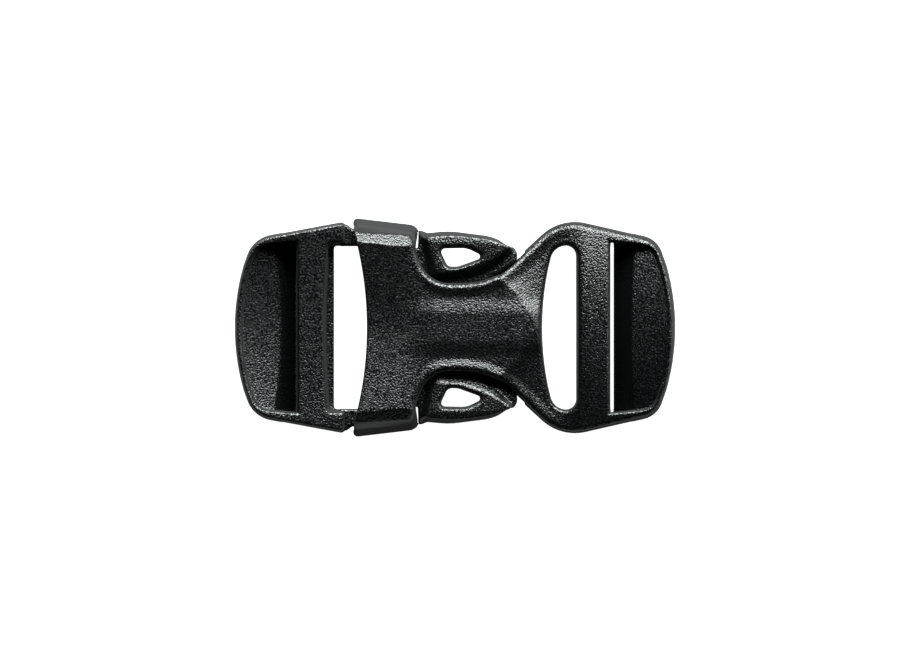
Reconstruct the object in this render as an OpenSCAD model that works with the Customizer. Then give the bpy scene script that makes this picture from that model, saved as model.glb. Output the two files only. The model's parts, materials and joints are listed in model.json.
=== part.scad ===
// Side-release buckle with a webbing adjuster at each end, closed.
// +X runs from the plug to the socket, +Y across the webbing, +Z up. Millimetres.

/* [Webbing] */
// Width of the webbing
web_w = 25; // [20:0.5:32]
// Play of the webbing across its slots
web_play = 1.8; // [1:0.1:3]
// Width of the socket's inner slot
slot_w = 5.7; // [4.7:0.1:7]
// Width of the plug's crossbar on top
plug_bar_w = 4; // [3.3:0.1:5]
// Width of the socket's crossbar on top
socket_bar_w = 5.2; // [4.2:0.1:6.3]
// Gap for the webbing between a crossbar and the ramp beside it
pass_gap = 2.4; // [1.8:0.1:3]

/* [Ends] */
// Length from the plug's outer end to its crossbar
plug_end = 10.3; // [8.5:0.1:13]
// Length from the socket's outer end to its crossbar
socket_end = 11; // [9:0.1:13.5]
// Height of the webbing ends
end_h = 6.4; // [5.3:0.1:7.8]
// Width of the rim round each pocket at the outer end
rim_w = 1.1; // [0.8:0.1:1.6]
// Radius of the outer ends in plan
end_r = 37; // [30:1:60]
// Width of the edge chamfers on the ends
edge_c = 0.8; // [0.3:0.1:1.2]

/* [Socket] */
// Height of the socket's body
body_h = 9.6; // [8:0.1:11.6]
// Thickness of the socket's top and bottom plates
plate_t = 1.7; // [1.4:0.1:2]
// Length of the shoulders beside the mouth
shoulder_len = 10.2; // [8.4:0.1:14]
// How far the shoulders stand out from the slot's end
shoulder_rail = 4.5; // [4.2:0.1:6]
// How far the mouth's edge is hollowed at its middle
mouth_sag = 2.3; // [1:0.1:3.2]
// Width of the waist between the windows
waist_w = 15.4; // [12.3:0.1:18.5]
// How far the webbing end stands out from the slot's end
flare_rail = 3.7; // [3.2:0.1:5]
// Thickness of the rib between the plates
rib_t = 3; // [1.5:0.1:4]

/* [Plug] */
// How far the plug's shoulders stand out from the slot's end
plug_rail = 4; // [3.4:0.1:5]
// Gap between the plug's shoulders and the socket's mouth
shoulder_gap = 1.2; // [0.9:0.1:2]
// Height of the arms' springs and flanges
web_h = 3.4; // [2.6:0.1:4.1]
// Length of an arm's head, from latch heel to tip
head_len = 16.3; // [13.5:0.1:20]
// Width of a spring arm at its root
root_w = 2.9; // [2.4:0.1:3.2]
// Width of a spring arm at its latch
neck_w = 2.2; // [1.6:0.1:2.6]
// Depth of the latch across the webbing
latch_d = 1.6; // [1.2:0.1:2]

/* [Fits] */
// Clearance between faces that slide or swing past each other
gap = 0.3; // [0.2:0.05:0.4]
// Free play along X when latched, towards the plug
latch_play = 0.3; // [0.1:0.05:0.6]
// Running clearance of an arm's root in its seat
seat_gap = 0.05; // [0.02:0.01:0.1]

/* [Hidden] */
$fn = 96;
big = 200;
eps = 0.01;

slot_half = (web_w + web_play) / 2;
mid_z = body_h / 2;
end_z0 = mid_z - end_h / 2;
end_z1 = mid_z + end_h / 2;

// Stations along X, counted from the plug's outer end, which sits half the length below zero.
ledge_w = 2;
plug_shoulder = 3.9;
heel_gap = latch_play + 0.1;
tip_gap = 1.1;
slot_wall = 2.8;
length = plug_end + plug_bar_w + plug_shoulder + shoulder_gap + shoulder_len + heel_gap
    + head_len + tip_gap + slot_wall + slot_w + socket_bar_w + socket_end;
x0 = -length / 2;
plug_bar_x = x0 + plug_end;
plug_slot_x = plug_bar_x + plug_bar_w;
frame_x = plug_slot_x + plug_shoulder;
mouth_x = frame_x + shoulder_gap;
latch_x = mouth_x + shoulder_len;
heel_x = latch_x + heel_gap;
tip_x = heel_x + head_len;
cavity_x = tip_x + tip_gap;
slot_x = cavity_x + slot_wall;
bar_x = slot_x + slot_w;
socket_bar_x = bar_x + socket_bar_w;
x1 = socket_bar_x + socket_end;

// Places across Y.
shoulder_y = slot_half + shoulder_rail;
flare_y = slot_half + flare_rail;
plug_y = slot_half + plug_rail;
waist_y = waist_w / 2;
root_r = root_w / 2;
root_y = slot_half + root_r - 0.1;
latch_y = slot_half - 0.1;
head_y = latch_y + latch_d + 0.55;
neck_y = latch_y - gap - neck_w / 2;
mouth_half = root_y + root_r + gap;

// Each arm's root turns in a round seat at the end of its rail, just inside the mouth.
pivot_x = mouth_x + 2;

// Half heights of the space inside the socket, under the plates and beside the springs.
cavity_half = mid_z - plate_t;
side_half = web_h / 2 + gap;
pad_half = cavity_half - gap;

// ---------- outlines ----------

function unit(v) = v / norm(v);

// Points of the arc that rounds the corner b between a and c with radius r.
function corner(a, b, c, r) =
    let (
        u = unit(a - b),
        v = unit(c - b),
        half = acos(u * v) / 2,
        centre = b + unit(u + v) * r / sin(half),
        start = b + u * r / tan(half) - centre,
        stop = b + v * r / tan(half) - centre,
        a0 = atan2(start.y, start.x),
        turn = (atan2(stop.y, stop.x) - a0 + 540) % 360 - 180,
        steps = max(2, ceil(abs(turn) / 8))
    )
    [for (i = [0:steps]) centre + r * [cos(a0 + turn * i / steps), sin(a0 + turn * i / steps)]];

// A closed outline from corners given as [x, y, radius]. A radius of 0 keeps the corner.
function rounded(p) =
    let (n = len(p), xy = [for (q = p) [q.x, q.y]])
    [for (i = [0:n - 1])
        each p[i][2] > 0
            ? corner(xy[(i + n - 1) % n], xy[i], xy[(i + 1) % n], p[i][2])
            : [xy[i]]];

// Half an outline, followed by its mirror image across Y = 0.
function both_sides(p) = concat(p, [for (i = [len(p) - 1:-1:0]) [p[i].x, -p[i].y, p[i][2]]]);

// How far an outer end's bow has fallen back at y.
function bow_drop(y) = end_r - sqrt(end_r * end_r - y * y);

// Corners along a bowed outer end at x, on the +Y side. out is the way the end faces.
function bow(x, y, out) = [for (k = [0.7, 0.5, 0.3, 0.1]) [x - out * bow_drop(k * y), k * y, 0]];

plug_corner_y = slot_half + 1.2;
socket_corner_y = slot_half + 1.05;

// Plug frame: a bowed outer end and sides that widen to the shoulders.
function plug_outline(inset) =
    let (y = plug_corner_y - inset)
    rounded(both_sides(concat(
        [[frame_x - inset * 0.3, plug_y - inset, 0.9]],
        [[x0 + bow_drop(y) + inset, y, 5]],
        bow(x0 + inset, y, -1))));

flare_corner = [slot_x + 3.2, flare_y + 0.95];

// Webbing end of the socket, from just before its inner slot to its bowed outer end.
function end_outline(inset) =
    let (y = socket_corner_y - inset)
    rounded(both_sides(concat(
        [[flare_corner.x - 4.2, flare_corner.y - 4.4 - inset, 0]],
        [[flare_corner.x, flare_corner.y - inset, 8]],
        [[x1 - bow_drop(y) - inset, y, 4]],
        bow(x1 - inset, y, 1))));

// The rest of the socket: shoulders, windows, waist and flare.
window_x = latch_x + 0.1;
waist_x = slot_x - 8.1;
window_len = waist_x - window_x;
shoulder_taper = 1.2;
socket_outline = rounded(both_sides([
    [mouth_x, shoulder_y + 0.05, 0.8],
    [window_x, shoulder_y - shoulder_taper, 2.5],
    [window_x + 2.5, waist_y - 0.1, 0.37 * window_len],
    [waist_x, waist_y, window_len],
    [flare_corner.x, flare_corner.y, 8],
    [slot_x + 8, flare_y - 0.6, 0]]));

// ---------- socket ----------

module along_x(x_from, x_to) {
    translate([x_from, 0, 0]) rotate([90, 0, 90]) linear_extrude(x_to - x_from) children();
}

module across_y(half) {
    translate([0, half, 0]) rotate([90, 0, 0]) linear_extrude(2 * half) children();
}

// A webbing end with chamfered edges, from its outline and the same outline inset.
module chamfered_end(outer, inner) {
    hull() {
        translate([0, 0, end_z0 + edge_c]) linear_extrude(end_h - 2 * edge_c) polygon(outer);
        translate([0, 0, end_z0]) linear_extrude(end_h) polygon(inner);
    }
}

// The plates run out over the flare in a pointed arch.
arch_r = 15.5;
arch_x = slot_x - arch_r;
arch_y = 12.4 - waist_y;
fall_x = waist_x - 1.5;
fall = 1.4;

module arch_plan() {
    for (side = [-1, 1]) difference() {
        translate([arch_x, -side * arch_y]) circle(arch_r);
        translate([arch_x - 2 * arch_r, side > 0 ? -3 * arch_r : 0]) square([4 * arch_r, 3 * arch_r]);
    }
    translate([-big, -big / 2]) square([big + arch_x + eps, big]);
}

module socket_body() {
    intersection() {
        linear_extrude(body_h) intersection() {
            polygon(socket_outline);
            arch_plan();
        }
        across_y(big / 2) polygon([
            [-big, 0], [fall_x, 0], [slot_x, fall], [slot_x, body_h - fall], [fall_x, body_h],
            [-big, body_h]]);
    }
}

// Flare beside the arch, falling from above the finger pads to the webbing end's height.
module flare() {
    thick = cavity_half + plate_t * 0.75;
    intersection() {
        linear_extrude(body_h) polygon(socket_outline);
        across_y(big / 2) polygon([
            [arch_x + 3, mid_z - thick], [pad_reach, mid_z - thick], [slot_x, end_z0],
            [slot_x + 1, end_z0], [slot_x + 1, end_z1], [slot_x, end_z1],
            [pad_reach, mid_z + thick], [arch_x + 3, mid_z + thick]]);
    }
}

// Bevel along the shoulders: how far in it starts on the face, where its lower edge sits
// inside the shoulder's line, and how far it stands above the cavity's side.
bevel_in = 3.75;
bevel_edge = 0.95;
bevel_low = 0.8;

// Cuts the bevel along one shoulder, on top for up = 1 and below for up = -1.
module shoulder_bevel(side, up) {
    slope = atan2(shoulder_taper, window_x - mouth_x);
    top = body_h / 2;
    translate([mouth_x, side * shoulder_y, mid_z]) rotate([0, 0, -side * slope])
        translate([-3, 0, 0]) rotate([90, 0, 90]) linear_extrude(shoulder_len + 6)
            polygon([
                [-side * bevel_in, up * (top + eps)], [-side * bevel_edge, up * (side_half + bevel_low)],
                [side * 0.1, up * (side_half - 0.6)], [side * 2, up * (side_half - 0.6)],
                [side * 2, up * (top + eps)]]);
}

// Space between the plates: a funnel at the mouth, open to both windows, low at the arms' tips.
pad_reach = tip_x - 1.4;
neck_x = latch_x - 1;
taper_x = pivot_x + 1.6;

module cavity() {
    intersection() {
        translate([0, 0, plate_t]) linear_extrude(body_h - 2 * plate_t) polygon([
            [mouth_x - 9, mouth_half], [taper_x, mouth_half], [neck_x, latch_y],
            [latch_x, latch_y], [latch_x, big], [pad_reach, big], [pad_reach, -big],
            [latch_x, -big], [latch_x, -latch_y], [neck_x, -latch_y],
            [taper_x, -mouth_half], [mouth_x - 9, -mouth_half]]);
        along_x(mouth_x - 10, pad_reach + 1) translate([0, mid_z]) polygon([
            [-big, -side_half], [-mouth_half, -side_half], [-latch_y, -cavity_half],
            [latch_y, -cavity_half], [mouth_half, -side_half], [big, -side_half],
            [big, side_half], [mouth_half, side_half], [latch_y, cavity_half],
            [-latch_y, cavity_half], [-mouth_half, side_half], [-big, side_half]]);
    }
    translate([pad_reach - 1, -big / 2, mid_z - side_half])
        cube([cavity_x - pad_reach + 1, big, 2 * side_half]);
}

// Rib that holds the plates apart between the two arms.
rib_x = latch_x - 2;
module rib() {
    translate([0, 0, plate_t - eps]) linear_extrude(body_h - 2 * plate_t + 2 * eps) {
        translate([rib_x, 0]) circle(d = rib_t);
        translate([rib_x, -rib_t / 2]) square([cavity_x - rib_x + 0.5, rib_t]);
    }
}

// Inner slot, bowed towards the mouth. The width of its ends limits the radii of their corners.
slot_r = 48;
function slot_drop(y) = slot_r - sqrt(slot_r * slot_r - y * y);
slot_end_w = slot_w - slot_drop(slot_half);
bar_corner_r = min(1.4, 0.37 * slot_end_w);
bow_corner_r = min(2.4, 0.64 * slot_end_w);

module slot_cut() {
    translate([0, 0, -1]) linear_extrude(big) polygon(rounded(both_sides(concat(
        [[bar_x, slot_half, bar_corner_r]],
        [[slot_x + slot_drop(slot_half), slot_half, bow_corner_r]],
        [for (k = [0.6, 0.3, 0.1]) [slot_x + slot_drop(k * slot_half), k * slot_half, 0]]))));
}

// Pocket over the ramp, and the slanted passage under the crossbar. out is 1 for the socket's
// end and -1 for the plug's, reach runs from the crossbar to the outer end, and nose_x is how
// far the ramp's nose stands off the crossbar's top edge.
ramp_low = 3.4;
ramp_drop = 0.6;
nose_h = 0.8;
steep_w = 3.2;
pocket_half = slot_half + 0.6;

module pocket(bar, out, reach, nose_x) {
    edge = reach - rim_w;
    intersection() {
        across_y(pocket_half) translate([bar, end_z0]) scale_x(out) polygon([
            [0, end_h + 1], [0, ramp_low], [nose_x - pass_gap, 0.3], [nose_x - pass_gap, -1],
            [nose_x, -1], [nose_x, nose_h], [nose_x + steep_w, ramp_low],
            [edge, end_h - ramp_drop], [edge, end_h + 1]]);
        linear_extrude(big) polygon(out > 0 ? end_outline(rim_w) : plug_outline(rim_w));
    }
}

module scale_x(out) {
    if (out > 0) children();
    else mirror([1, 0]) children();
}

// Radius that hollows the mouth's edge by mouth_sag over the shoulders' width.
mouth_r = (shoulder_y * shoulder_y + mouth_sag * mouth_sag) / (2 * mouth_sag);
socket_nose_x = 1.2;
plug_nose_x = 0;

module socket() {
    color([0.045, 0.048, 0.05]) {
        difference() {
            union() {
                socket_body();
                flare();
                chamfered_end(end_outline(0), end_outline(edge_c));
            }
            translate([mouth_x + mouth_sag - mouth_r, 0, -1]) cylinder(r = mouth_r, h = big, $fn = 240);
            for (side = [-1, 1], up = [-1, 1]) shoulder_bevel(side, up);
            cavity();
            slot_cut();
            pocket(socket_bar_x, 1, socket_end, socket_nose_x);
        }
        rib();
    }
}

// ---------- plug ----------

// Inner slot of the plug, open towards the arms, with a ledge below the crossbar's edge.
module plug_slot_cut() {
    ledge_z = end_z0 + 3;
    wall_w = 1.1;
    across_y(slot_half) polygon([
        [plug_slot_x, end_z1 + 1], [plug_slot_x, end_z1 - 0.6], [plug_slot_x + wall_w, ledge_z + 0.2],
        [plug_slot_x + ledge_w, ledge_z], [plug_slot_x + ledge_w, end_z0 - 1],
        [frame_x + 1, end_z0 - 1], [frame_x + 1, end_z1 + 1]]);
}

// Rail stub that enters the mouth and carries one arm's round seat.
module root_stub(side) {
    inner = side * (root_y - root_r);
    outer = side * (root_y + root_r);
    swell = side * 0.7;
    back_x = frame_x - 1.5;
    seat_x = pivot_x - 0.6;
    difference() {
        translate([0, 0, mid_z - web_h / 2]) linear_extrude(web_h) polygon([
            [back_x, inner], [seat_x, inner], [seat_x, outer], [mouth_x - 0.1, outer],
            [frame_x - 0.1, outer + swell], [back_x, outer + swell]]);
        translate([pivot_x, side * root_y, 0]) cylinder(r = root_r + seat_gap, h = big);
    }
}

module plug_frame() {
    color([0.05, 0.05, 0.05]) {
        difference() {
            chamfered_end(plug_outline(0), plug_outline(edge_c));
            plug_slot_cut();
            pocket(plug_bar_x, -1, plug_end, plug_nose_x);
        }
        for (side = [-1, 1]) root_stub(side);
    }
}

// ---------- arms ----------

// X of a place along an arm's head, 0 at the latch heel and 1 at the tip.
function along(share) = heel_x + share * head_len;

// Round root of the arm on +Y, from its inner side round to its outer side.
function root_arc() =
    [for (a = [260:-10:100]) [pivot_x + root_r * cos(a), root_y + root_r * sin(a)]];

// Spring and flange of the arm on +Y: round root, tapering spring, latch heel and head.
function arm_outline() = concat(root_arc(), rounded([
    [pivot_x, root_y + root_r, 0],
    [latch_x - 2.2, neck_y + neck_w / 2, 4],
    [heel_x - 0.1, neck_y + neck_w / 2, 0],
    [heel_x, latch_y + latch_d, 0.3],
    [along(0.37), head_y + 0.15, 14],
    [along(0.74), head_y - 0.7, 9],
    [tip_x, head_y - 3, 0.8],
    [tip_x - 0.1, head_y - 4.8, 0.7],
    [along(0.69), waist_y - 0.15, 4],
    [along(0.37), waist_y - 1.2, 4],
    [along(0.1), waist_y + 0.25, 2.5],
    [heel_x - 0.6, neck_y - neck_w / 2, 2],
    [pivot_x, root_y - root_r, 0]]));

// Finger pad, which stands above and below the flange.
pad_outline = rounded([
    [along(0.09), head_y - 0.75, 0.5],
    [along(0.37), head_y - 0.35, 14],
    [along(0.73), head_y - 1.25, 9],
    [along(0.945), head_y - 2.75, 0.4],
    [along(0.67), head_y - 5.4, 8],
    [along(0.43), head_y - 6.5, 6],
    [along(0.19), head_y - 6.5, 0.7]]);

hole_outline = rounded([
    [along(0.215), head_y - 2.4, 0.5],
    [along(0.49), head_y - 2.3, 4],
    [along(0.67), head_y - 3.9, 0.5],
    [along(0.4), head_y - 5.5, 3],
    [along(0.3), head_y - 5.5, 0.9]]);

module arm() {
    difference() {
        union() {
            translate([0, 0, mid_z - web_h / 2]) linear_extrude(web_h) polygon(arm_outline());
            translate([0, 0, mid_z - pad_half]) linear_extrude(2 * pad_half) polygon(pad_outline);
        }
        linear_extrude(big) polygon(hole_outline);
    }
}

module arm_left() {
    color([0.055, 0.052, 0.055]) arm();
}

module arm_right() {
    color([0.055, 0.052, 0.055]) mirror([0, 1, 0]) arm();
}

socket();
plug_frame();
arm_left();
arm_right();
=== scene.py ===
"""The looks of a side-release buckle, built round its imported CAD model."""
import json
import math

import bpy
import numpy as np
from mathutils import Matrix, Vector


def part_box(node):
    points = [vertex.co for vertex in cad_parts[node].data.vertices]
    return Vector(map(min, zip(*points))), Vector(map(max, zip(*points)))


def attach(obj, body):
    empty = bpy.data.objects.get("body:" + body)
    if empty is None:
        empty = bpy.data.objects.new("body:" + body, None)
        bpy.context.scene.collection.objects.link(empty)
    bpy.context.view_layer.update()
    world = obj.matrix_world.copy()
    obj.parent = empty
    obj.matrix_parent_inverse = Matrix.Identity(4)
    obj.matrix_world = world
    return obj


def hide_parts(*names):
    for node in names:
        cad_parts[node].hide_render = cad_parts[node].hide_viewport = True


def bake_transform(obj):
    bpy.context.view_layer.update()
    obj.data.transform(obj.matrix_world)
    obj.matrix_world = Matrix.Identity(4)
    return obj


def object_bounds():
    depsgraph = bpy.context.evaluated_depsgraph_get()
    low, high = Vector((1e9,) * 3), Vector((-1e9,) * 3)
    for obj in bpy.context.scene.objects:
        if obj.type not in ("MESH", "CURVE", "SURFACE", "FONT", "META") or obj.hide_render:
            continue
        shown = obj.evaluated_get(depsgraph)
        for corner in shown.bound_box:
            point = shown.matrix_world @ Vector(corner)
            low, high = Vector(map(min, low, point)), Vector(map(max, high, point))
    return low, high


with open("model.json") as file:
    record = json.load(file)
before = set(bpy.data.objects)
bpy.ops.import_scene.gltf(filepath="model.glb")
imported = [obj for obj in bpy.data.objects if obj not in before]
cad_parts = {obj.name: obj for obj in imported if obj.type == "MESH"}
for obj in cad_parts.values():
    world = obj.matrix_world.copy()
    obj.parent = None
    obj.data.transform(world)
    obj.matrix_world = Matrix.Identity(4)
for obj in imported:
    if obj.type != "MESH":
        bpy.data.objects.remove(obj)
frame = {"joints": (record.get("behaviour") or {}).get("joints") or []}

MM = 0.001
CAD_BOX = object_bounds()
VOXEL = 0.16
MOST_TRIANGLES = 190_000


# ---------- places, in millimetres, from the CAD frame ----------

def low(node, axis):
    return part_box(node)[0][axis] / MM


def high(node, axis):
    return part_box(node)[1][axis] / MM


PIVOT = [c / MM for c in next(j for j in frame["joints"] if j["name"] == "squeeze_left")["pos_m"]]
MID = PIVOT[2]
PLUG_END = low("plug_frame", 0)
SOCKET_END = high("socket", 0)
TIP = high("arm_left", 0)
BODY_TOP = high("socket", 2)
END_TOP = high("plug_frame", 2)

END_BOTTOM = 2 * MID - END_TOP

# Along X: the plug's crossbar from PLUG_BAR to PLUG_SLOT and the edge of its frame, the socket's
# mouth and latch, the arms' heels, and the socket's inner slot from SLOT to BAR and its crossbar.
PLUG_BAR = PLUG_END + 10.25
PLUG_SLOT = PLUG_BAR + 4
FRAME = PLUG_SLOT + 3.9
MOUTH = FRAME + 1.2
HEEL = TIP - 16.3
LATCH = HEEL - 0.4
SOCKET_BAR = SOCKET_END - 11
BAR = SOCKET_BAR - 5.2
SLOT = BAR - 5.7

# Half widths along Y.
SLOT_HALF = 13.4
WAIST = 7.7
SHOULDER = 17.95
FLARE = 17.1
LATCH_Y = 13.3

# Radii, in plan, of the bowed outer ends and of the inner slot's bow.
END_R = 37
SLOT_R = 48
ARC_STEP = math.radians(4)


# ---------- outlines ----------

def corner(a, b, c, r):
    """Points of the arc of radius r that rounds the corner b between a and c."""
    a, b, c = (np.array(p, float) for p in (a, b, c))
    u = (a - b) / np.linalg.norm(a - b)
    v = (c - b) / np.linalg.norm(c - b)
    half = math.acos(float(np.clip(u @ v, -1, 1))) / 2
    centre = b + (u + v) / np.linalg.norm(u + v) * r / math.sin(half)
    start = b + u * r / math.tan(half) - centre
    stop = b + v * r / math.tan(half) - centre
    a0 = math.atan2(start[1], start[0])
    turn = (math.atan2(stop[1], stop[0]) - a0 + math.pi) % (2 * math.pi) - math.pi
    steps = max(3, math.ceil(abs(turn) / ARC_STEP))
    angles = a0 + turn * np.linspace(0, 1, steps + 1)
    return centre + r * np.stack([np.cos(angles), np.sin(angles)], 1)


def rounded(corners):
    """A closed outline from corners given as (x, y, radius)."""
    n = len(corners)
    out = []
    for i, (x, y, r) in enumerate(corners):
        before, after = corners[i - 1][:2], corners[(i + 1) % n][:2]
        out.append(corner(before, (x, y), after, r) if r > 0 else np.array([[x, y]], float))
    return np.concatenate(out)


def both_sides(half):
    """Corners on +Y followed by their mirror images."""
    return list(half) + [(x, -y, r) for x, y, r in reversed(half)]


def bow_drop(y, r=END_R):
    """How far a bow of radius r has fallen back at y."""
    return r - math.sqrt(r ** 2 - y ** 2)


def bow(x, y, out):
    """Corners along a bowed outer end at x, from side y down to the middle."""
    return [(x - out * bow_drop(k * y), k * y, 0) for k in (0.7, 0.6, 0.5, 0.4, 0.3, 0.2, 0.1)]


def plug_outline(inset=0.0):
    """The plug's outline without its arms, drawn in by inset."""
    y = SLOT_HALF + 1.2 - inset
    return rounded(both_sides(
        [(FRAME - inset * 0.3, 17.4 - inset, 0.8), (PLUG_END + bow_drop(y) + inset, y, 5 - inset)]
        + bow(PLUG_END + inset, y, -1)))


def socket_outline(inset=0.0):
    """The socket's outline, with its webbing end drawn in by inset. It runs on past the mouth."""
    y = SLOT_HALF + 1.05 - inset
    return rounded(both_sides(
        [(MOUTH - 3, SHOULDER + 0.36, 0),
         (LATCH + 0.95, SHOULDER - 1.3, 1.8),
         (LATCH + 0.3, 12.8, 3),
         (LATCH + 2.6, WAIST - 0.1, 4.6),
         (SLOT - 8.1, WAIST, 12.4),
         (SLOT + 3.2, FLARE + 0.95 - inset, 8),
         (SOCKET_END - bow_drop(y) - inset, y, 4 - inset * 0.5)]
        + bow(SOCKET_END - inset, y, 1)))


def slot_outline():
    """Inner slot: straight along the crossbar, with the outer end's bow on the other side."""
    far = [(SLOT + 0.15 + bow_drop(y, SLOT_R), y) for y in np.linspace(1, -1, 15) * SLOT_HALF]
    return rounded(
        [(BAR, -SLOT_HALF, 1.7), (BAR, SLOT_HALF, 1.7), (*far[0], 2.6)]
        + [(*p, 0) for p in far[2:-2]] + [(*far[-1], 2.6)])


# ---------- distance fields ----------

def to_outline(points, x, y):
    """Signed distance from each (x, y) to a closed outline, negative inside."""
    x, y = x.astype(np.float32), y.astype(np.float32)
    best = np.full(np.broadcast(x, y).shape, 1e9, np.float32)
    inside = np.zeros(best.shape, bool)
    for (ax, ay), (bx, by) in zip(points, np.roll(points, -1, axis=0)):
        ex, ey = bx - ax, by - ay
        size = ex * ex + ey * ey
        if size < 1e-12:
            continue
        px, py = x - ax, y - ay
        t = np.clip((px * ex + py * ey) / size, 0, 1)
        best = np.minimum(best, (px - t * ex) ** 2 + (py - t * ey) ** 2)
        crosses = (ay > y) != (by > y)
        if abs(ey) > 1e-9:
            inside ^= crosses & (x < ax + (y - ay) * ex / ey)
    return np.where(inside, -1, 1) * np.sqrt(best)


def step(x, a, b):
    """Smooth rise from 0 at a to 1 at b."""
    t = np.clip((x - a) / (b - a), 0, 1)
    return t * t * (3 - 2 * t)


def soft_min(a, b, k):
    """The lower of two heights, with their crease smoothed over k."""
    h = np.clip(0.5 + 0.5 * (b - a) / k, 0, 1)
    return b + (a - b) * h - k * h * (1 - h)


def soft_max(a, b, k):
    return -soft_min(-a, -b, k)


def meet(a, b, r):
    """Where both fields are solid, with the edge between them rounded to radius r."""
    return np.minimum(np.maximum(a, b), -r) + np.hypot(np.maximum(a + r, 0), np.maximum(b + r, 0))


def join(a, b, r):
    """Where either field is solid, with the inner corner between them filled to radius r."""
    return np.maximum(np.minimum(a, b), r) - np.hypot(np.maximum(r - a, 0), np.maximum(r - b, 0))


def under(height, z, pitch):
    """Below a height field, as a distance."""
    gx, gy = np.gradient(height, pitch)
    return ((z - height[:, :, None]) / np.sqrt(1 + gx ** 2 + gy ** 2)[:, :, None]).astype(np.float32)


class Grid:
    """Sample points over a box, with plan coordinates x and y, and height z."""

    def __init__(self, box, pitch):
        (x0, y0, z0), (x1, y1, z1) = box
        pad = 3 * pitch
        self.pitch = pitch
        self.origin = np.array([x0 - pad, y0 - pad, z0 - pad])
        axes = [np.arange(a - pad, b + pad, pitch, dtype=np.float32)
                for a, b in ((x0, x1), (y0, y1), (z0, z1))]
        self.x, self.y = np.meshgrid(axes[0], axes[1], indexing="ij")
        self.z = axes[2][None, None, :]
        self.side = np.abs(self.z - MID)

    def prism(self, plan, draft=0.0):
        """An upright wall round a plan distance. draft leans it in, away from the middle height."""
        plan = plan[:, :, None] if plan.ndim == 2 else plan
        draft = draft[:, :, None] if isinstance(draft, np.ndarray) else draft
        return ((plan + draft * self.side) / np.sqrt(1 + draft ** 2)).astype(np.float32)

    def plan(self, points):
        return to_outline(points, self.x, self.y)

    def under(self, height):
        """Below a height over the plan."""
        return under(height, self.z, self.pitch)

    def over(self, height):
        """Above a height over the plan."""
        return under(-height, -self.z, self.pitch)


# ---------- meshing ----------

# A cell's edges, as pairs of its eight corners, and the corners' places in it.
EDGES = [(a, b) for a in range(8) for b in range(a + 1, 8) if bin(a ^ b).count("1") == 1]
OFFSETS = np.array([[(c >> k) & 1 for k in range(3)] for c in range(8)])


def surface(field, grid):
    """Vertices, in millimetres, and quads of the surface where the field is zero."""
    inside = field < 0
    filled = sum(inside[tuple(slice(o, o + s - 1) for o, s in zip(off, inside.shape))].astype(np.int8)
                 for off in OFFSETS)
    active = (filled > 0) & (filled < 8)
    cells = np.argwhere(active)
    number = np.full(active.shape, -1, np.int32)
    number[active] = np.arange(len(cells))
    values = [field[tuple((cells + off).T)] for off in OFFSETS]
    total = np.zeros((len(cells), 3))
    count = np.zeros(len(cells))
    for a, b in EDGES:
        crosses = (values[a] < 0) != (values[b] < 0)
        gap = np.where(crosses, values[a] - values[b], 1)
        t = np.where(crosses, values[a] / gap, 0)
        total += np.where(crosses[:, None], OFFSETS[a] + t[:, None] * (OFFSETS[b] - OFFSETS[a]), 0)
        count += crosses
    verts = cells + total / count[:, None]
    verts = settle(field, verts, cells)
    quads = []
    for axis in range(3):
        u, v = (axis + 1) % 3, (axis + 2) % 3
        lo = [slice(1, s - 1) for s in inside.shape]
        hi = list(lo)
        lo[axis], hi[axis] = slice(0, -1), slice(1, None)
        first, second = inside[tuple(lo)], inside[tuple(hi)]
        at = np.argwhere(first != second)
        flip = second[tuple(at.T)]
        at[:, u] += 1
        at[:, v] += 1
        ring = []
        for du, dv in ((1, 1), (0, 1), (0, 0), (1, 0)):
            c = at.copy()
            c[:, u] -= du
            c[:, v] -= dv
            ring.append(number[tuple(c.T)])
        ring = np.stack(ring, 1)
        ring[flip] = ring[flip][:, ::-1]
        quads.append(ring)
    return grid.origin + verts * grid.pitch, np.concatenate(quads)


def settle(field, verts, cells, rounds=2):
    """Moves each vertex onto the surface along the field's slope, within its own cell."""
    for _ in range(rounds):
        t = verts - cells
        value = np.zeros(len(verts))
        slope = np.zeros((len(verts), 3))
        for off in OFFSETS:
            f = field[tuple((cells + off).T)]
            w = np.where(off, t, 1 - t)
            value += f * w.prod(1)
            for k in range(3):
                others = w[:, [i for i in range(3) if i != k]].prod(1)
                slope[:, k] += f * others * (1 if off[k] else -1)
        size = np.maximum((slope ** 2).sum(1), 1e-9)
        verts = np.clip(verts - slope * (value / size)[:, None], cells + 0.02, cells + 0.98)
    return verts


def make_piece(name, verts, quads):
    """A mesh object from millimetre vertices and quads, left for thin_out to shade smooth."""
    mesh = bpy.data.meshes.new(name)
    mesh.vertices.add(len(verts))
    mesh.vertices.foreach_set("co", (verts * MM).astype(np.float32).ravel())
    mesh.loops.add(quads.size)
    mesh.loops.foreach_set("vertex_index", quads.astype(np.int32).ravel())
    mesh.polygons.add(len(quads))
    mesh.polygons.foreach_set("loop_start", np.arange(0, quads.size, 4, dtype=np.int32))
    mesh.polygons.foreach_set("loop_total", np.full(len(quads), 4, np.int32))
    mesh.update(calc_edges=True)
    mesh.validate()
    piece = bpy.data.objects.new(name, mesh)
    bpy.context.scene.collection.objects.link(piece)
    return piece


def thin_out(piece):
    """Collapses edges until the piece is under the triangle limit."""
    triangles = 2 * len(piece.data.polygons)
    if triangles > MOST_TRIANGLES:
        modifier = piece.modifiers.new("fewer", "DECIMATE")
        modifier.ratio = MOST_TRIANGLES / triangles
        graph = bpy.context.evaluated_depsgraph_get()
        mesh = bpy.data.meshes.new_from_object(piece.evaluated_get(graph))
        piece.modifiers.clear()
        piece.data = mesh
    piece.data.polygons.foreach_set("use_smooth", [True] * len(piece.data.polygons))


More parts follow.
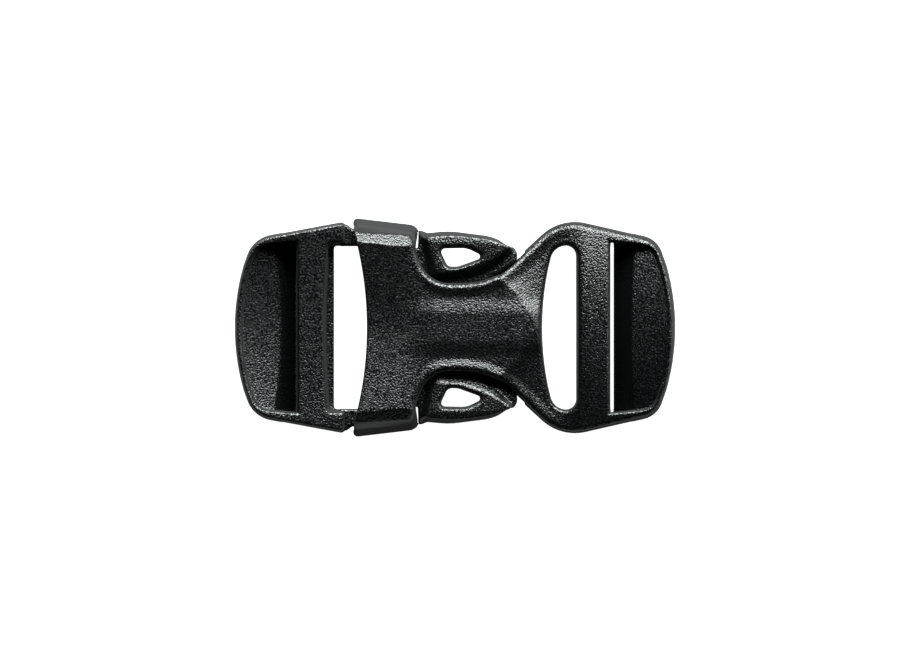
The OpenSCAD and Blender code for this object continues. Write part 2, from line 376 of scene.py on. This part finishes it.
# ---------- the webbing ends ----------

RIM = 1.3
POCKET_HALF = 13.9
PASS_HALF = 13.5

# Depths below a webbing end's upper face, and heights above its under face.
EDGE_DROP = 2.1
RIM_DROP = 0.35
NOSE_H = 0.6
FOOT_H = 2.2
PASS_H = 3.6
PASS_LEAN = 0.38


def ramp_height(grid, top, away, nose, edge, reach, bulge, hollow):
    """Height of a ramp: its steep face up to the edge, then its long slope out to the rim."""
    middle = 1 - np.clip(grid.y / POCKET_HALF, -1, 1) ** 2
    edge_z = top - EDGE_DROP
    steep = edge_z + (away + bulge * middle - edge) * (edge_z - END_BOTTOM - NOSE_H) / (edge - nose)
    slope = edge_z - hollow * middle + (away - edge) * (EDGE_DROP - RIM_DROP) / (reach - edge)
    return soft_min(steep, slope, 0.1)


def passage(grid, away, bar_foot, nose):
    """The webbing's way under a crossbar, from its leaning foot to the ramp's nose."""
    foot_z = END_BOTTOM + FOOT_H
    left = away[:, :, None] - bar_foot + PASS_LEAN * np.maximum(foot_z - grid.z, 0)
    left = left / math.hypot(1, PASS_LEAN)
    way = np.maximum(-left, (away - nose)[:, :, None])
    way = np.maximum(way, grid.z - (END_BOTTOM + PASS_H))
    return meet(way, grid.prism(np.abs(grid.y) - PASS_HALF), 0.4)


def pocket(grid, body, top, plan, away, bar_foot, nose, edge, reach, bulge, hollow):
    """Cuts a pocket with a ramp, and the passage under the crossbar, out of a webbing end.

    away is the distance from the crossbar's edge towards the outer end. The crossbar's wall leans
    out to bar_foot, the ramp's nose stands off at nose, its steep face ends at edge, and the ramp
    meets the rim at reach. The steep face bulges and the ramp is hollowed by these depths."""
    ramp = ramp_height(grid, top, away, nose, edge, reach, bulge, hollow)
    ramp_solid = meet(grid.prism(nose - away), grid.under(ramp), 0.3)
    depth = np.clip((top.max() - grid.z) / (top.max() - (END_BOTTOM + FOOT_H)), 0, 1)
    wall = (away[:, :, None] - bar_foot * depth).astype(np.float32)
    opening = np.maximum(grid.prism(plan, -0.06), -wall)
    rest = meet(body, -opening, 0.5)
    inner = np.maximum(np.maximum(body, ramp_solid), -wall)
    solid = join(rest, inner, 0.2)
    return meet(solid, -passage(grid, away, bar_foot, nose), 0.2)


LEDGE_Z = MID - 0.2
LEDGE_LEAN = 0.16


def plug_recess(grid):
    """The space over the ledge behind the plug's crossbar, whose edge bows back at its middle."""
    y = np.abs(grid.y)
    edge_x = PLUG_SLOT + 1.35 - 0.6 * (1 - np.clip(y / SLOT_HALF, 0, 1) ** 2)
    back = (edge_x - grid.x)[:, :, None] - LEDGE_LEAN * (grid.z - LEDGE_Z)
    sides = grid.prism(y - SLOT_HALF - 0.15, -0.12)
    recess = meet(back / math.hypot(1, LEDGE_LEAN), sides, 0.9)
    return np.maximum(recess, LEDGE_Z - grid.z)


def plug_field(grid):
    """The plug's webbing end, without its arms."""
    x, y = grid.x, np.abs(grid.y)
    top = (END_TOP - 0.3 * (1 - np.clip(y / 15, 0, 1) ** 2)).astype(np.float32)
    plan = grid.plan(plug_outline())
    wall = grid.prism(plan, 0.12)
    body = meet(meet(wall, grid.under(top), 0.25), grid.over(2 * MID - top), 0.25)
    rim_plan = meet(grid.plan(plug_outline(RIM)), y - POCKET_HALF, 1.2)
    body = pocket(grid, body, top, rim_plan, PLUG_BAR - x, bar_foot=0.3, nose=0.1, edge=3.85,
                  reach=PLUG_BAR - PLUG_END - RIM, bulge=0, hollow=0.65)
    through = meet(grid.prism(PLUG_SLOT + 1.95 - x, -0.03), grid.prism(y - SLOT_HALF + 0.05, -0.03), 0.5)
    body = meet(body, -through, 0.2)
    return meet(body, -plug_recess(grid), 0.35)


# ---------- the socket ----------

ARCH_R = 15.5
ARCH_X = SLOT - ARCH_R
ARCH_Y = -5
BEVEL_W = 3.7
BEVEL_SLOPE = 0.7
BEVEL_END = LATCH + 2
SIDE_DRAFT = 0.11
SHOULDER_DRAFT = 0.38
MOUTH_R = 58


def past_arch(x, y):
    """Distance in plan beyond the pointed arch in which the body's faces end."""
    beyond = np.hypot(np.maximum(x - ARCH_X, 0), y - ARCH_Y) - ARCH_R
    return beyond - 2.5 * np.maximum(ARCH_X - 1.5 - x, 0)


def from_side(x, y):
    """Distance in plan from the shoulder's side, which tapers from the mouth."""
    return (SHOULDER - 0.1214 * (x - MOUTH) - y) * 0.993


def socket_top(grid):
    """Height of the socket's upper face: dish, waist, shoulder bevels, arch, flare and end."""
    x, y = grid.x, np.abs(grid.y)
    inner = -grid.plan(socket_outline())
    dish = BODY_TOP - 0.1 * (math.hypot(13.4, 4) - np.hypot(y, 4))
    waist = BODY_TOP - 1.0 + 0.36 * (1 - step(y, 2.0, 5.2))
    waist = waist + 0.36 * (1 - step(inner, 0.8, 2.8)) * step(x, -8, -3)
    main = dish + (waist - dish) * step(x, -10, -2)
    main = main - 0.09 * soft_max(x - 7.5, 0, 4)
    bevel = BODY_TOP - BEVEL_SLOPE * (BEVEL_W - from_side(x, y)) + 1.2 * np.maximum(x - BEVEL_END, 0)
    main = soft_min(main, bevel, 0.1)
    beyond = soft_max(past_arch(x, y), 0, 0.3)
    flare = main - 0.8 * (1 - np.exp(-beyond / 2)) - 0.12 * beyond
    end = END_TOP + 0.6 - 1.15 * (y / SLOT_HALF) ** 2
    return flare + (end - flare) * step(x, SLOT - 0.5, BAR + 2)


def socket_bottom(grid):
    """Height of the socket's under face, flat under the body and stepped up under the end."""
    x, y = grid.x, np.abs(grid.y)
    bevel = BEVEL_SLOPE * (BEVEL_W - from_side(x, y)) - 1.2 * np.maximum(x - BEVEL_END, 0)
    flat = soft_max(np.zeros(x.shape, np.float32), bevel, 0.15)
    cone = 0.34 * past_arch(x, y) + 0.3
    end = soft_min(cone, np.full(x.shape, END_BOTTOM, np.float32), 0.9)
    return soft_max(flat, end, 0.3)


def socket_body(grid, top, bottom):
    """The socket's solid with its mouth's edge and inner slot, before it is hollowed."""
    x, y = grid.x, np.abs(grid.y)
    plan = grid.plan(socket_outline())
    in_end = step(x, SLOT + 2, SOCKET_BAR)
    in_shoulder = (1 - step(x, LATCH - 0.5, LATCH + 2)) * step(y, 13.8, 16)
    leaning = grid.prism(plan, SIDE_DRAFT + SHOULDER_DRAFT * in_shoulder)
    wall = np.where(grid.z > MID, leaning, grid.prism(plan, SIDE_DRAFT))
    edge = (1.0 - 0.1 * in_end - 0.3 * in_shoulder)[:, :, None]
    body = meet(meet(wall, grid.under(top), edge), grid.over(bottom), edge)
    mouth = MOUTH_R - np.hypot(x - (MOUTH + 2.15 - MOUTH_R), y)
    mouth = np.maximum(mouth, MOUTH - x)
    mouth_edge = 0.25 + 0.55 * step(y, 15.2, 17.2)
    body = meet(body, grid.prism(mouth, 0.04), mouth_edge[:, :, None])
    return meet(body, -grid.prism(grid.plan(slot_outline()), -0.1), 0.6)


MOUTH_HALF = 16.62
SLEEVE_X = LATCH + 1.3
SLEEVE_Y = 15.6
REACH = TIP + 0.1
ASIDE = 40
ROOM = 3.1
TIP_ROOM = 2.0


def cavity_outline():
    """The space between the plates: narrowing to the latches, then open at the windows."""
    return rounded(both_sides([
        (MOUTH - 9, MOUTH_HALF, 0),
        (PIVOT[0] + 1.6, MOUTH_HALF, 6),
        (LATCH - 1, LATCH_Y, 2),
        (LATCH, LATCH_Y, 0),
        (LATCH, SLEEVE_Y, 0.3),
        (SLEEVE_X, SLEEVE_Y, 0.3),
        (SLEEVE_X, ASIDE, 0),
        (REACH, ASIDE, 0)]))


def cavity(grid, top, bottom):
    """The space for the arms between the plates, and the lower space for their tips."""
    x, y = grid.x, np.abs(grid.y)
    plate = 0.95 - 0.35 * step(x, 4, 7)
    room = np.minimum(ROOM - 1.1 * np.clip((y - LATCH_Y) / 3.2, 0, 1),
                      np.minimum(top - MID, MID - bottom) - plate)
    space = meet(grid.prism(grid.plan(cavity_outline())), grid.side - room[:, :, None], 0.4)
    tip_plan = np.abs(x - (REACH + TIP) / 2) - (TIP + 1.1 - REACH) / 2 - 0.6
    tips = meet(grid.prism(tip_plan), grid.side - TIP_ROOM, 0.3)
    return np.minimum(space, tips)


def rib(grid):
    """The rib between the arms that joins the plates."""
    x, y = grid.x, np.abs(grid.y)
    sides = grid.prism(np.maximum(y - 1.5, LATCH - 2.5 - x))
    return np.maximum(sides, np.maximum(grid.prism(x - TIP - 2), grid.side - 3.6))


def socket_field(grid):
    """The whole socket."""
    x, y = grid.x, np.abs(grid.y)
    top, bottom = socket_top(grid), socket_bottom(grid)
    body = meet(socket_body(grid, top, bottom), -cavity(grid, top, bottom), 0.2)
    body = join(body, rib(grid), 0.3)
    rim_plan = meet(grid.plan(socket_outline(RIM)), y - POCKET_HALF, 1.2)
    return pocket(grid, body, top, rim_plan, x - SOCKET_BAR, bar_foot=0.5, nose=0.95, edge=4.5,
                  reach=SOCKET_END - SOCKET_BAR - RIM, bulge=0.45, hollow=0)


# ---------- the arms ----------

# The head's outer side, and the half heights of the arm's web and of its finger pad.
HEAD_Y = LATCH_Y + 1.6 + 0.55
WEB_HALF = 1.65
PAD_HALF = 2.8


def along(share):
    """X at a share of the head's length from its heel."""
    return HEEL + share * (TIP - HEEL)


def arm_outline():
    """The arm's outline, from its root inside the plug's frame to its tip."""
    root_y, root_r, neck = PIVOT[1], 1.45, 13.0
    return rounded([
        (FRAME - 1.0, root_y + root_r + 0.75, 0),
        (FRAME + 0.1, root_y + root_r + 0.7, 0.2),
        (MOUTH - 0.15, root_y + root_r, 0.5),
        (PIVOT[0] + 0.5, root_y + root_r, 8),
        (LATCH - 2.2, neck, 4),
        (HEEL, neck, 0.25),
        (HEEL + 0.15, LATCH_Y + 1.5, 0.7),
        (along(0.33), HEAD_Y + 0.05, 14),
        (along(0.74), HEAD_Y - 0.6, 9),
        (TIP, HEAD_Y - 2.95, 1.0),
        (TIP - 0.1, HEAD_Y - 4.9, 0.7),
        (along(0.69), WAIST - 0.15, 4),
        (along(0.37), WAIST - 1.2, 4),
        (along(0.1), WAIST + 0.35, 2.5),
        (HEEL - 0.6, neck - 2.2, 2),
        (PIVOT[0], root_y - root_r, 8),
        (FRAME - 1.0, root_y - root_r, 0)])


def pad_outline():
    """Edge of the finger pad's face."""
    return rounded([
        (along(0.09), HEAD_Y - 0.72, 0.3),
        (along(0.34), HEAD_Y - 0.35, 14),
        (along(0.71), HEAD_Y - 1.0, 9),
        (along(0.955), HEAD_Y - 2.3, 0.3),
        (along(0.72), HEAD_Y - 4.6, 8),
        (along(0.5), HEAD_Y - 5.9, 6),
        (along(0.19), HEAD_Y - 6.65, 0.6)])


def pad_foot():
    """Outline of the finger pad where its slopes meet the web."""
    return rounded([
        (along(0.025), HEAD_Y - 0.5, 0.5),
        (along(0.33), HEAD_Y - 0.05, 14),
        (along(0.75), HEAD_Y - 0.85, 9),
        (along(0.965), HEAD_Y - 2.6, 0.4),
        (along(0.76), HEAD_Y - 6.0, 8),
        (along(0.53), HEAD_Y - 7.4, 6),
        (along(0.12), HEAD_Y - 8.2, 0.9)])


def pad_crest(x):
    """Y of the line outside which the pad's face falls away, a little inside its outer edge."""
    share = (x - HEEL) / (TIP - HEEL)
    return HEAD_Y - 1.55 - 1.9 * np.maximum(share - 0.45, 0) ** 1.5


def hole_outline():
    """The hole through the head."""
    return rounded([
        (along(0.215), HEAD_Y - 2.55, 0.6),
        (along(0.49), HEAD_Y - 2.45, 4),
        (along(0.67), HEAD_Y - 3.9, 0.5),
        (along(0.4), HEAD_Y - 5.5, 3),
        (along(0.3), HEAD_Y - 5.5, 1.1)])


def arm_field(grid):
    """The arm on +Y."""
    half = WEB_HALF - 0.5 * (1 - step(grid.x, MOUTH + 0.5, MOUTH + 3))
    web = meet(grid.prism(grid.plan(arm_outline()), 0.05), grid.side - half[:, :, None], 0.35)
    top, foot = grid.plan(pad_outline())[:, :, None], grid.plan(pad_foot())[:, :, None]
    down = (PAD_HALF - grid.side) / (PAD_HALF - WEB_HALF)
    slopes = (top + (foot - top) * down) * 0.8
    fall = 0.16 * np.maximum(grid.y - pad_crest(grid.x), 0)
    pad = meet(slopes, grid.side - (PAD_HALF - fall)[:, :, None], 0.22)
    pad = meet(pad, (HEEL + 0.05 - grid.x)[:, :, None], 0.2)
    body = join(web, pad, 0.15)
    return meet(body, -grid.prism(grid.plan(hole_outline()), -0.12), 0.3)


# ---------- pieces ----------

def build(name, field, box, mirror=False):
    """Meshes a field over a box, mirrored to -Y if asked."""
    grid = Grid(box, VOXEL)
    verts, quads = surface(field(grid), grid)
    if mirror:
        verts = verts * [1, -1, 1]
        quads = quads[:, ::-1]
    piece = make_piece(name, verts, quads)
    thin_out(piece)
    return piece


def node_box(node, grow=(0, 0, 0)):
    """A CAD node's box in millimetres, grown on each side."""
    lo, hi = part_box(node)
    return [[lo[k] / MM - grow[k] for k in range(3)], [hi[k] / MM + grow[k] for k in range(3)]]


def map_range(tree, value, source, target, smooth=True):
    """A node output that carries value from the source range to the target range."""
    node = tree.nodes.new("ShaderNodeMapRange")
    if smooth:
        node.interpolation_type = "SMOOTHSTEP"
    node.inputs["From Min"].default_value, node.inputs["From Max"].default_value = source
    node.inputs["To Min"].default_value, node.inputs["To Max"].default_value = target
    tree.links.new(value, node.inputs["Value"])
    return node.outputs["Result"]


def levelness(tree, normal):
    """A node output that is 1 on level faces and 0 on upright walls."""
    split = tree.nodes.new("ShaderNodeSeparateXYZ")
    tree.links.new(normal, split.inputs[0])
    level = tree.nodes.new("ShaderNodeMath")
    level.operation = "ABSOLUTE"
    tree.links.new(split.outputs["Z"], level.inputs[0])
    return level.outputs[0]


def fine_noise(tree, place):
    """A node output with the mould's grain, in the object's own coordinates."""
    noise = tree.nodes.new("ShaderNodeTexNoise")
    noise.inputs["Scale"].default_value = 3800
    noise.inputs["Detail"].default_value = 1
    noise.inputs["Roughness"].default_value = 0.4
    tree.links.new(place, noise.inputs["Vector"])
    return noise.outputs["Fac"]


def add_bump(tree, shader, grain, grainy):
    """Raises the grain, fully where grainy is 1."""
    strength = tree.nodes.new("ShaderNodeMath")
    strength.operation = "MULTIPLY_ADD"
    strength.inputs[1].default_value = 0.85
    strength.inputs[2].default_value = 0.1
    tree.links.new(grainy, strength.inputs[0])
    bump = tree.nodes.new("ShaderNodeBump")
    bump.inputs["Distance"].default_value = 0.00012
    tree.links.new(grain, bump.inputs["Height"])
    tree.links.new(strength.outputs[0], bump.inputs["Strength"])
    tree.links.new(bump.outputs["Normal"], shader.inputs["Normal"])


def add_roughness(tree, shader, level, grain, grainy):
    """Dull on steep walls, glossier on level faces, and speckled where grainy is 1."""
    rough = map_range(tree, level, (0.38, 0.68), (0.92, 0.29))
    speckle = map_range(tree, grain, (0.38, 0.62), (-0.13, 0.13), smooth=False)
    total = tree.nodes.new("ShaderNodeMath")
    total.operation = "MULTIPLY_ADD"
    tree.links.new(speckle, total.inputs[0])
    tree.links.new(grainy, total.inputs[1])
    tree.links.new(rough, total.inputs[2])
    tree.links.new(total.outputs[0], shader.inputs["Roughness"])


def make_plastic():
    """Black moulded plastic: a fine grain on the level faces, and plain, duller steep walls."""
    material = bpy.data.materials.new("plastic")
    material.use_nodes = True
    tree = material.node_tree
    shader = tree.nodes["Principled BSDF"]
    shader.inputs["Base Color"].default_value = (0.0016, 0.0017, 0.0018, 1)
    shader.inputs["Specular IOR Level"].default_value = 0.3
    place = tree.nodes.new("ShaderNodeTexCoord")
    level = levelness(tree, place.outputs["Normal"])
    grainy = map_range(tree, level, (0.6, 0.8), (0, 1))
    grain = fine_noise(tree, place.outputs["Object"])
    add_bump(tree, shader, grain, grainy)
    add_roughness(tree, shader, level, grain, grainy)
    return material


plastic = make_plastic()

socket = build("buckle_socket", socket_field, node_box("socket"))
plug = build("buckle_plug", plug_field, node_box("plug_frame"))
arm_box = node_box("arm_left", (0, 0.3, 0.3))
arm_box[0][0] = FRAME - 1.2
arms = {side: build("buckle_arm_" + side, arm_field, arm_box, mirror=side == "right")
        for side in ("left", "right")}

for piece, node, body in ((socket, "socket", "socket"), (plug, "plug_frame", "plug")):
    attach(piece, body)
    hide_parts(node)
for side, piece in arms.items():
    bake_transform(piece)
    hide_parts("arm_" + side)
for piece in (socket, plug, *arms.values()):
    piece.data.materials.append(plastic)


# ---------- stage, light and camera ----------

def box_light(name, place, target, size, power, colour=(1, 1, 1)):
    """A rectangular soft light at place that faces target."""
    lamp = bpy.data.lights.new(name, "AREA")
    lamp.shape = "RECTANGLE"
    lamp.size, lamp.size_y = size
    lamp.energy = power
    lamp.color = colour
    obj = bpy.data.objects.new(name, lamp)
    obj.location = place
    obj.rotation_euler = (Vector(target) - Vector(place)).to_track_quat("-Z", "Y").to_euler()
    bpy.context.scene.collection.objects.link(obj)


FLOOR_HALF = 3.0
VIEW_WIDTH = 150.734 * MM


def make_paper():
    """White paper lit from below like a light table, with the glow falling off further away."""
    paper = bpy.data.materials.new("paper")
    paper.use_nodes = True
    tree = paper.node_tree
    bsdf = tree.nodes["Principled BSDF"]
    bsdf.inputs["Base Color"].default_value = (0.12, 0.12, 0.12, 1)
    bsdf.inputs["Roughness"].default_value = 0.9
    bsdf.inputs["Emission Color"].default_value = (1, 1, 1, 1)
    place = tree.nodes.new("ShaderNodeTexCoord")
    away = tree.nodes.new("ShaderNodeVectorMath")
    away.operation = "LENGTH"
    tree.links.new(place.outputs["Object"], away.inputs[0])
    glow = map_range(tree, away.outputs["Value"], (0.1, 0.4), (0.86, 0.42))
    tree.links.new(glow, bsdf.inputs["Emission Strength"])
    return paper


def make_floor():
    h = FLOOR_HALF
    mesh = bpy.data.meshes.new("floor")
    mesh.from_pydata([(-h, -h, 0), (h, -h, 0), (h, h, 0), (-h, h, 0)], [], [(0, 1, 2, 3)])
    floor = bpy.data.objects.new("floor", mesh)
    bpy.context.scene.collection.objects.link(floor)
    mesh.materials.append(make_paper())


def make_world():
    """A faint even light from all round."""
    world = bpy.context.scene.world or bpy.data.worlds.new("world")
    bpy.context.scene.world = world
    world.use_nodes = True
    background = world.node_tree.nodes["Background"]
    background.inputs["Color"].default_value = (1, 1, 1, 1)
    background.inputs["Strength"].default_value = 0.02


def make_camera():
    """A long lens straight above, a little off the part's middle."""
    lo, hi = CAD_BOX
    camera = bpy.data.cameras.new("camera")
    camera.lens = 300
    camera.sensor_width = 36
    obj = bpy.data.objects.new("camera", camera)
    obj.location = ((lo[0] + hi[0]) / 2 + 1.14 * MM,
                    (lo[1] + hi[1]) / 2 + 0.41 * MM,
                    hi[2] + VIEW_WIDTH * camera.lens / camera.sensor_width)
    bpy.context.scene.collection.objects.link(obj)
    bpy.context.scene.camera = obj


make_floor()
make_world()
make_camera()
box_light("window", (0.2, 1.28, 1.0), (0, 0, 0), (2.2, 0.9), 235, (0.95, 1.0, 0.99))
box_light("edge", (1.35, 0.3, 0.34), (0, 0, 0), (0.9, 0.4), 10)
bpy.context.scene.view_settings.view_transform = "Standard"
bpy.context.scene.view_settings.look = "Medium High Contrast"
